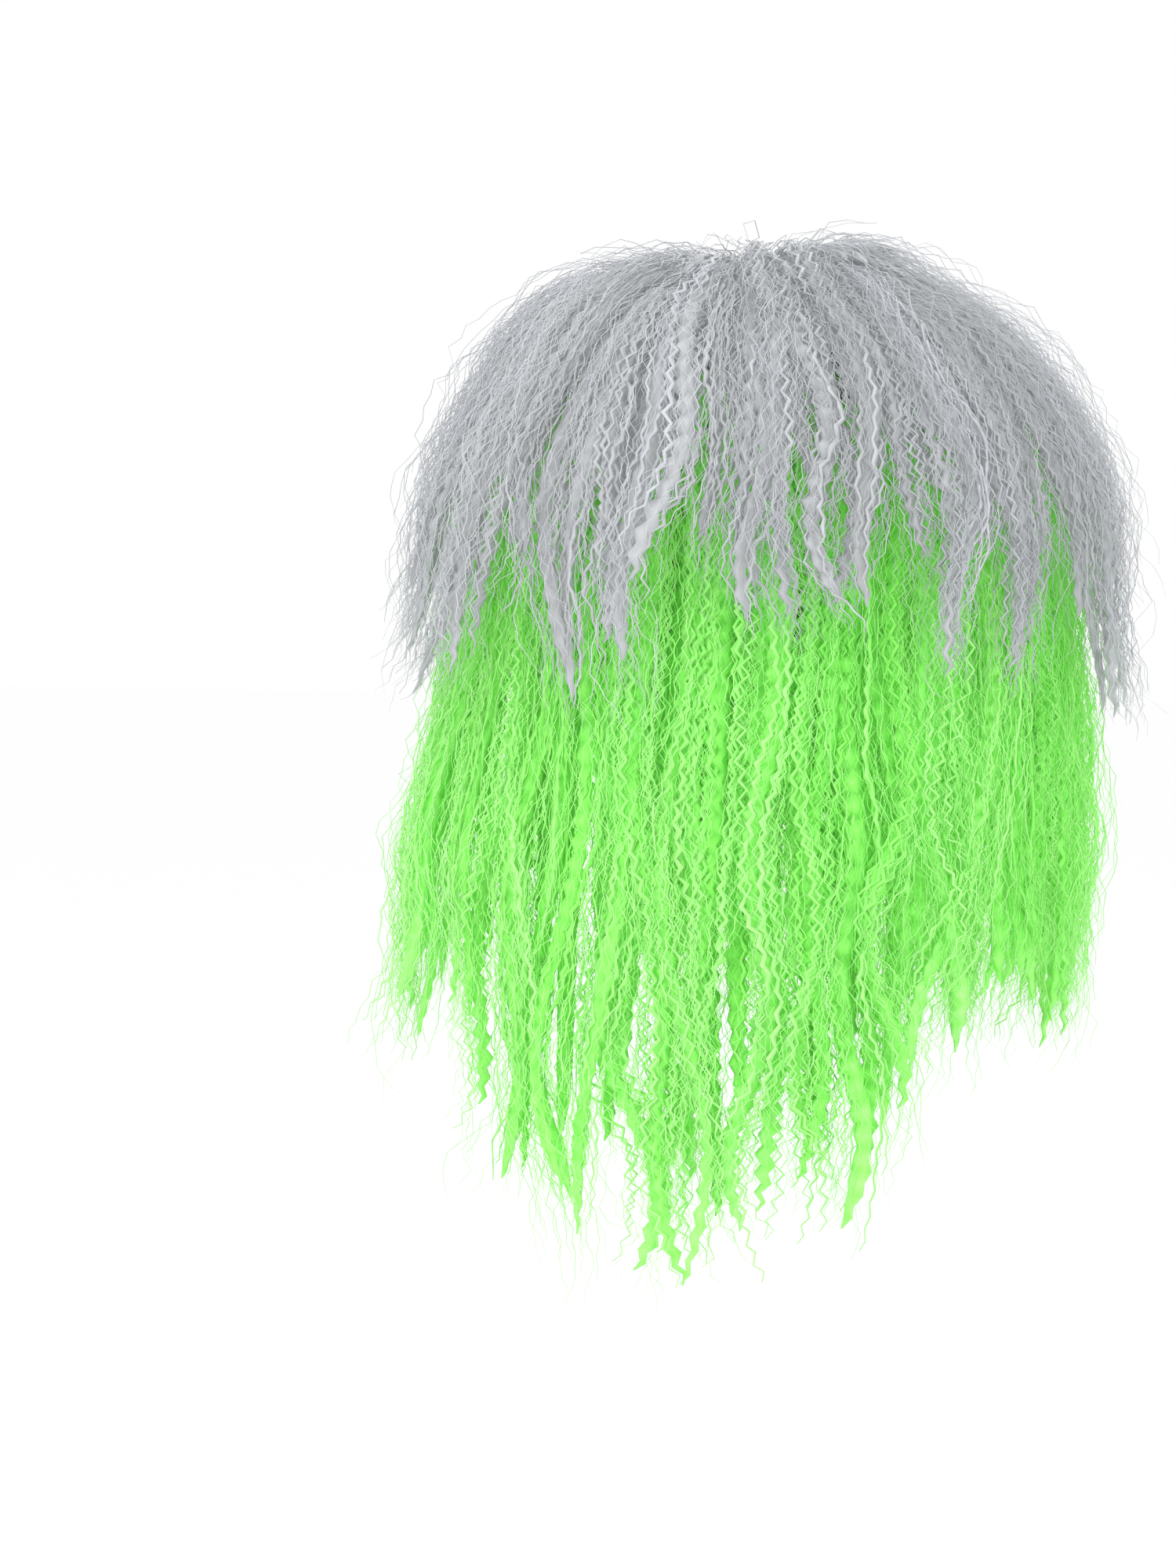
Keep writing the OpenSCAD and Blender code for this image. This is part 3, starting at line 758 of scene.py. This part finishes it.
azimuths = np.arange(crownHair["count"]) * 360 / crownHair["count"]
azimuths = azimuths + rng.uniform(-crownHair["turn"], crownHair["turn"], crownHair["count"])
locks = [crownLock(azimuth) for azimuth in azimuths]
grown = growAll(greyPath, locks, core, (1, 1))
for kind, key in ((wisp, "wisps"), (strand, "strands"), (stray, "strays")):
    grown += growAll(greyPath, locks, kind, (crownHair[key], 0))
total += countTriangles(grown)
piece = joinParts("crown_locks", grown)
piece.data.materials.append(greyFinish)
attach(piece, "cap")
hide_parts("grey_crown_hair")
print("hair grown,", total, "triangles")

# The cap. Its lower edge is a station at each of these azimuths away from the back.
cap = {
    "net": 0.0008, "band": 0.0016, "bandDegrees": 7.5, "crownDegrees": 38.0,
    "trackOffset": 0.0024, "track": 0.0012, "trackDegrees": 3.6, "whorlDegrees": 12.0,
    "ribbonWidth": 0.012, "ribbonOffset": 0.0012, "ribbon": 0.0006, "ribbonInset": 1.0,
    "edgeFromBack": (0, 36, 48, 54, 60, 114, 120, 126, 132, 138, 144, 180),
    "edgeStation": (128, 127, 120, 112, 108, 108, 101, 92, 82, 74, 68, 66),
    "earEdge": 108.0, "tab": (-24.0, -6.0), "tabGap": 0.9, "tabRound": 10.0, "tabDegrees": 14.0,
}


# The edge's corners are rounded by taking the mean over a few degrees
def edgeStation(azimuth):
    turned = np.abs((azimuth - 90.0) % 360.0)
    away = np.minimum(turned, 360.0 - turned)
    near = []
    for shift in range(-3, 4):
        near.append(np.interp(np.abs(away + shift), cap["edgeFromBack"], cap["edgeStation"]))
    return np.mean(near, axis=0)


# A point so far outside the head's ellipsoid
def capPoint(offset, azimuth, station):
    return domePoint(np.radians(azimuth), station, offset, offset, offset, 0.0)


# Closed shell between two grids of points, with a band of faces round the rim. Its UV map
# is in metres: along the middle row, and along the middle column.
def shellMesh(name, inner, outer):
    rows, columns = inner.shape[:2]
    index = np.arange(rows * columns).reshape(rows, columns)
    back = np.stack([index[:-1, :-1], index[:-1, 1:], index[1:, 1:], index[1:, :-1]], -1).reshape(-1, 4)
    rim = np.concatenate([index[0, :-1], index[:-1, -1], index[-1, :0:-1], index[:0:-1, 0]])
    after = np.roll(rim, -1)
    quads = np.concatenate([back, back[:, ::-1] + rows * columns,
                            np.stack([after, rim, rim + rows * columns, after + rows * columns], -1)])
    verts = np.concatenate([inner.reshape(-1, 3), outer.reshape(-1, 3)])
    corner = verts[quads]
    normal = np.cross(corner[:, 2] - corner[:, 0], corner[:, 3] - corner[:, 1])
    if (corner.mean(1) * normal).sum() < 0:
        quads = quads[:, ::-1]
    acrossSteps = np.linalg.norm(np.diff(outer[rows // 2], axis=0), axis=-1)
    downSteps = np.linalg.norm(np.diff(outer[:, columns // 2], axis=0), axis=-1)
    across = np.concatenate([[0.0], np.cumsum(acrossSteps)])
    down = np.concatenate([[0.0], np.cumsum(downSteps)])
    flat = np.stack(np.meshgrid(across, down), -1).reshape(-1, 2)
    piece = makeMesh(name, verts, quads, np.zeros((0, 3), int), along=np.concatenate([flat, flat]))
    area = 0.5 * np.linalg.norm(normal[len(back):2 * len(back)], axis=-1).sum()
    rowLengths = np.linalg.norm(np.diff(outer, axis=1), axis=-1).sum(1)
    columnLengths = np.linalg.norm(np.diff(outer, axis=0), axis=-1).sum(0)
    return piece, (float(rowLengths.max()), float(columnLengths.max())), float(area)


# The part of the cap between two azimuths and two edges
def capShell(name, azimuths, top, bottom, offset, thickness, rows, step=1.5):
    columns = max(2, int(round((azimuths[1] - azimuths[0]) / step)) + 1)
    azimuth = np.linspace(*azimuths, columns)[None, :]
    v = np.linspace(0.0, 1.0, rows)[:, None]
    station = top(azimuth) * (1.0 - v) + bottom(azimuth) * v
    inner = capPoint(offset, azimuth, station)
    return shellMesh(name, inner, capPoint(offset + thickness, azimuth, station))


# A round of the cap about the crown: a square grid bent into a disc, so it has no pole
def crownShell(name, degrees, offset, thickness, cells):
    u, v = np.meshgrid(np.linspace(-1, 1, cells), np.linspace(-1, 1, cells))
    x = u * np.sqrt(1.0 - 0.5 * v * v)
    y = v * np.sqrt(1.0 - 0.5 * u * u)
    azimuth = np.degrees(np.arctan2(y, x))
    station = np.hypot(x, y) * degrees
    inner = capPoint(offset, azimuth, station)
    return shellMesh(name, inner, capPoint(offset + thickness, azimuth, station))


# A ribbon over the crown keeps its width: at w aside of its middle line the cap's two other
# half axes shrink by the root of 1 - (w over the half axis)^2
def ribbonShell(name, across, turn):
    c = cap
    w = np.linspace(-0.5, 0.5, 9)[None, :] * c["ribbonWidth"]
    angle = np.radians(np.linspace(*turn, 97))[:, None]
    grids = []
    for offset in (c["ribbonOffset"], c["ribbonOffset"] + c["ribbon"]):
        sideways, lengthways = head["halfBreadth"] + offset, head["halfLength"] + offset
        if across:
            sideways, lengthways = lengthways, sideways
        k = np.sqrt(1.0 - (w / sideways) ** 2)
        run = lengthways * k * np.sin(angle)
        z = (head["crownDrop"] + offset) * k * np.cos(angle) - head["crownDrop"]
        aside = np.broadcast_to(w, run.shape)
        grids.append(np.stack([run, aside, z] if across else [aside, run, z], -1))
    return shellMesh(name, *grids)


weaveLook = {"scale": 900.0, "detail": 2.0, "share": 0.6, "bump": 0.7}
solidLook = {"scale": 260.0, "detail": 3.0, "bump": 0.15, "bumpDepth": 0.0002}


# A weave of two thread directions: sin(u + v) sin(u - v), with fuzz
def clothFinish(name, dark, light, threads, roughness, depth):
    look = weaveLook
    f = Finish(name)
    along = f.add("ShaderNodeUVMap", {"uv_map": "along"})
    parts = f.add("ShaderNodeSeparateXYZ", None, {0: along})
    u = parts * threads[0]
    v = Value(f, parts.socket.node.outputs[1]) * threads[1]
    weave = (u + v).sine() * (u - v).sine()
    fuzz = f.add("ShaderNodeTexNoise", None,
                 {"Vector": along, "Scale": look["scale"], "Detail": look["detail"]})
    height = weave * 0.5 + 0.5 + (fuzz - 0.5) * look["share"]
    colour = f.add("ShaderNodeValToRGB", {"stops": [(0.1, dark), (0.8, light)]}, {0: height})
    bump = f.add("ShaderNodeBump", None,
                 {"Strength": look["bump"], "Distance": depth, "Height": height})
    f.shader.inputs["Base Color"].default_value = (*light, 1.0)
    return f.finish(Base_Color=colour, Roughness=roughness, Normal=bump)


# Moulded plastic or lacquered steel: a clean colour with faint clouding
def solidFinish(name, dark, light, roughness, metal):
    look = solidLook
    f = Finish(name)
    place = f.add("ShaderNodeTexCoord", None, None, "Object")
    cloud = f.add("ShaderNodeTexNoise", None,
                  {"Vector": place, "Scale": look["scale"], "Detail": look["detail"]})
    colour = f.add("ShaderNodeValToRGB", {"stops": [(0.35, dark), (0.65, light)]}, {0: cloud})
    bump = f.add("ShaderNodeBump", None,
                 {"Strength": look["bump"], "Distance": look["bumpDepth"], "Height": cloud})
    f.shader.inputs["Base Color"].default_value = (*light, 1.0)
    return f.finish(Base_Color=colour, Roughness=roughness, Metallic=metal, Normal=bump)


netFinish = clothFinish("stretch_net", (0.24, 0.25, 0.26), (0.56, 0.57, 0.58),
                        (2600, 2600), 0.8, 0.0004)
tapeFinish = clothFinish("edge_tape", (0.30, 0.31, 0.33), (0.46, 0.47, 0.50),
                         (5200, 2600), 0.75, 0.0003)
elasticFinish = clothFinish("elastic", (0.52, 0.53, 0.54), (0.80, 0.80, 0.81),
                            (900, 5600), 0.7, 0.0004)
greyWeftFinish = clothFinish("grey_weft", (0.30, 0.31, 0.32), (0.60, 0.61, 0.63),
                             (1900, 3000), 0.7, 0.0006)
greenWeftFinish = clothFinish("green_weft", (0.05, 0.42, 0.02), (0.26, 0.80, 0.12),
                              (1900, 3000), 0.7, 0.0006)
stayFinish = solidFinish("coated_steel", (0.34, 0.35, 0.37), (0.46, 0.47, 0.49), 0.35, 0.6)
hookFinish = solidFinish("moulded_plastic", (0.80, 0.80, 0.78), (0.88, 0.88, 0.86), 0.3, 0.0)
elasticLoopFinish = solidFinish("covered_elastic", (0.60, 0.60, 0.61), (0.78, 0.78, 0.79), 0.7, 0.0)


# A cap piece's finish goes in a slot, the piece goes on its body and the node it replaces is hidden;
# its flat measures and area go unused
def dress(made, finish, body="cap"):
    piece, flat, area = made
    piece.data.materials.append(finish)
    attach(piece, body)
    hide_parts(piece.name.removesuffix("_cloth"))
    return piece


nets = {"front": (-126, -54), "left": (-54, 36), "right": (144, 234), "back": (36, 144)}
bands = {
    "front": (-126, -54), "left_temple": (-54, -24), "left_ear": (-24, 36), "nape": (36, 144),
    "right_ear": (144, 204), "right_temple": (204, 234),
}
crownEdge = lambda a: 0 * a + cap["crownDegrees"]
bandTop = lambda a: edgeStation(a) - cap["bandDegrees"]
for name, azimuths in nets.items():
    made = capShell(f"{name}_net_cloth", azimuths, crownEdge, bandTop, 0.0, cap["net"], 40)
    dress(made, netFinish)
made = crownShell("crown_net_cloth", cap["crownDegrees"], 0.0, cap["net"], 41)
dress(made, netFinish)
for name, azimuths in bands.items():
    made = capShell(f"{name}_band_cloth", azimuths, bandTop, edgeStation, 0.0, cap["band"], 9)
    dress(made, tapeFinish)


# The tab's lower edge is part of an ellipse
def tabEnd(azimuth):
    u = (azimuth - sum(cap["tab"]) / 2) / cap["tabRound"]
    return cap["earEdge"] + cap["tabGap"] + cap["tabDegrees"] * np.sqrt(1.0 - u * u)


tabTop = lambda a: 0 * a + cap["earEdge"] + cap["tabGap"]
for side in ("left", "right"):
    azimuths = cap["tab"] if side == "left" else (180 - cap["tab"][1], 180 - cap["tab"][0])
    end = tabEnd if side == "left" else (lambda a: tabEnd(180.0 - a))
    made = capShell(f"{side}_ear_tab_cloth", azimuths, tabTop, end, 0.0, cap["band"], 15, 1.0)
    dress(made, tapeFinish, f"{side}_tab")

inset = cap["ribbonInset"]
frontTurn, backTurn = float(bandTop(-90.0)) - inset, float(bandTop(90.0)) - inset
sideTurns = (math.degrees(math.asin((cap["ribbonWidth"] / 2 + 0.001) / head["halfBreadth"])),
             cap["earEdge"] - cap["bandDegrees"] - inset)
dress(ribbonShell("centre_ribbon_cloth", False, (-frontTurn, backTurn)), elasticFinish)
dress(ribbonShell("left_ribbon_cloth", True, sideTurns), elasticFinish)
dress(ribbonShell("right_ribbon_cloth", True, (-sideTurns[1], -sideTurns[0])), elasticFinish)

# Weft tracks: azimuths and station of each sewn row
tracks = {"fringe_track": (-126, -54, 55)}
for number, station in enumerate((17, 23.5, 30, 36.5)):
    tracks[f"grey_track_{number + 1}"] = (0, 358, station)
greenStarts = (-54, -54, -54, -24, -24, 24)
for number, (start, station) in enumerate(zip(greenStarts, (45, 57, 69, 81, 92, 103))):
    tracks[f"green_track_{number + 1}"] = (start, 180 - start, station)
half = cap["trackDegrees"] / 2
for name, (start, end, station) in tracks.items():
    made = capShell(f"{name}_cloth", (start, end), lambda a: 0 * a + station - half,
                    lambda a: 0 * a + station + half, cap["trackOffset"], cap["track"], 7)
    if name.startswith("green"):
        dress(made, greenWeftFinish)
    else:
        dress(made, greyWeftFinish)
dress(crownShell("crown_whorl_cloth", cap["whorlDegrees"], cap["trackOffset"], cap["track"], 25),
      netFinish)

# The adjusters: a strap in a sleeve on each side, on a circle round the neck
nape = {
    "y": 0.0234, "z": -0.1436, "lean": 0.66, "strap": 0.0606, "strapThickness": 0.001,
    "halfHeight": 0.0035, "gap": 0.0004, "wall": 0.0007, "roundness": 0.4,
    "strapAngles": (22, 57), "casingAngles": (40, 58),
}


# Place on a strip that leans round the neck: its radius grows with its height
def napePoint(radius, height, angle, side):
    r = radius + nape["lean"] * height
    angle = np.radians(angle) * side
    x = r * np.sin(angle)
    y = nape["y"] + r * np.cos(angle)
    return np.stack(np.broadcast_arrays(x, y, nape["z"] + height), -1)


# The sine or cosine of an oblong's outline: its size to a power below 1 squares it up
def squared(value):
    return np.sign(value) * np.abs(value) ** nape["roundness"]


# A flat sleeve: a rounded oblong carried round the neck, once outside and once inside
def sleeve(name, side):
    n = nape
    loop = np.linspace(0, 2 * np.pi, 49)[None, :]
    angle = np.linspace(*n["casingAngles"], 31)[:, None]
    grids = []
    for wall in (0.0, n["wall"]):
        deep = n["strapThickness"] / 2 + n["gap"] + wall
        high = n["halfHeight"] + n["gap"] + wall
        radius = n["strap"] + n["strapThickness"] / 2 + deep * squared(np.cos(loop))
        height = high * squared(np.sin(loop))
        grids.append(napePoint(radius, height, angle, side))
    return shellMesh(name, *grids)


for side, sign in (("left", 1), ("right", -1)):
    angle = np.linspace(*nape["strapAngles"], 71)[None, :]
    height = np.linspace(nape["halfHeight"], -nape["halfHeight"], 9)[:, None]
    strip = [napePoint(nape["strap"] + r, height, angle, sign) for r in (0.0, nape["strapThickness"])]
    made = shellMesh(f"{side}_adjuster_strap_cloth", *strip)
    dress(made, elasticFinish, f"{side}_adjuster")
    dress(sleeve(f"{side}_adjuster_casing_cloth", sign), tapeFinish, "cap")

for names, finish in (("left_ear_stay right_ear_stay", stayFinish),
                      ("left_adjuster_hook right_adjuster_hook", hookFinish),
                      ("adjuster_loops", elasticLoopFinish)):
    for name in names.split():
        bpy.data.objects[name].data.materials.clear()
        bpy.data.objects[name].data.materials.append(finish)
print("cap sewn")

scene = bpy.context.scene
scene.view_settings.view_transform = "Standard"
world = bpy.data.worlds.new("studio")
world.use_nodes = True
world.node_tree.nodes["Background"].inputs[0].default_value = (1, 1, 1, 1)
world.node_tree.nodes["Background"].inputs[1].default_value = 1.0
scene.world = world


lightTarget = (0, 0, -0.15)
keyLight = {"azimuth": 102, "elevation": 55, "distance": 1.8, "size": 1.4, "power": 15.5}
fillLight = {"azimuth": 170, "elevation": 18, "distance": 2.2, "size": 1.8, "power": 9.5}
ground = {"half": 14, "z": -0.5, "colour": (0.99, 0.99, 0.99, 1), "roughness": 0.9}


# A round light on a sphere about the wig, turned to face it
def softLight(name, azimuth, elevation, distance, size, power):
    a = math.radians(azimuth)
    e = math.radians(elevation)
    toward = np.array([math.sin(a) * math.cos(e), -math.cos(a) * math.cos(e), math.sin(e)])
    data = bpy.data.lights.new(name, "AREA")
    data.shape = "DISK"
    data.size = size
    data.energy = power
    light = bpy.data.objects.new(name, data)
    middle = np.array(lightTarget)
    right = unit(np.cross([0, 0, 1.0], toward))
    matrix = np.eye(4)
    matrix[:3, :3] = np.column_stack([right, np.cross(toward, right), toward])
    matrix[:3, 3] = middle + toward * distance
    light.matrix_world = matrix.T.tolist()
    scene.collection.objects.link(light)


softLight("key", **keyLight)
softLight("fill", **fillLight)

floorMesh = bpy.data.meshes.new("floor")
corners = [(x * ground["half"], y * ground["half"], ground["z"])
           for x, y in ((-1, -1), (1, -1), (1, 1), (-1, 1))]
floorMesh.from_pydata(corners, [], [(0, 1, 2, 3)])
floor = bpy.data.objects.new("floor", floorMesh)
scene.collection.objects.link(floor)
floorFinish = Finish("pale_floor")
floorFinish.finish(Base_Color=ground["colour"], Roughness=ground["roughness"])
floorMesh.materials.append(floorFinish.material)
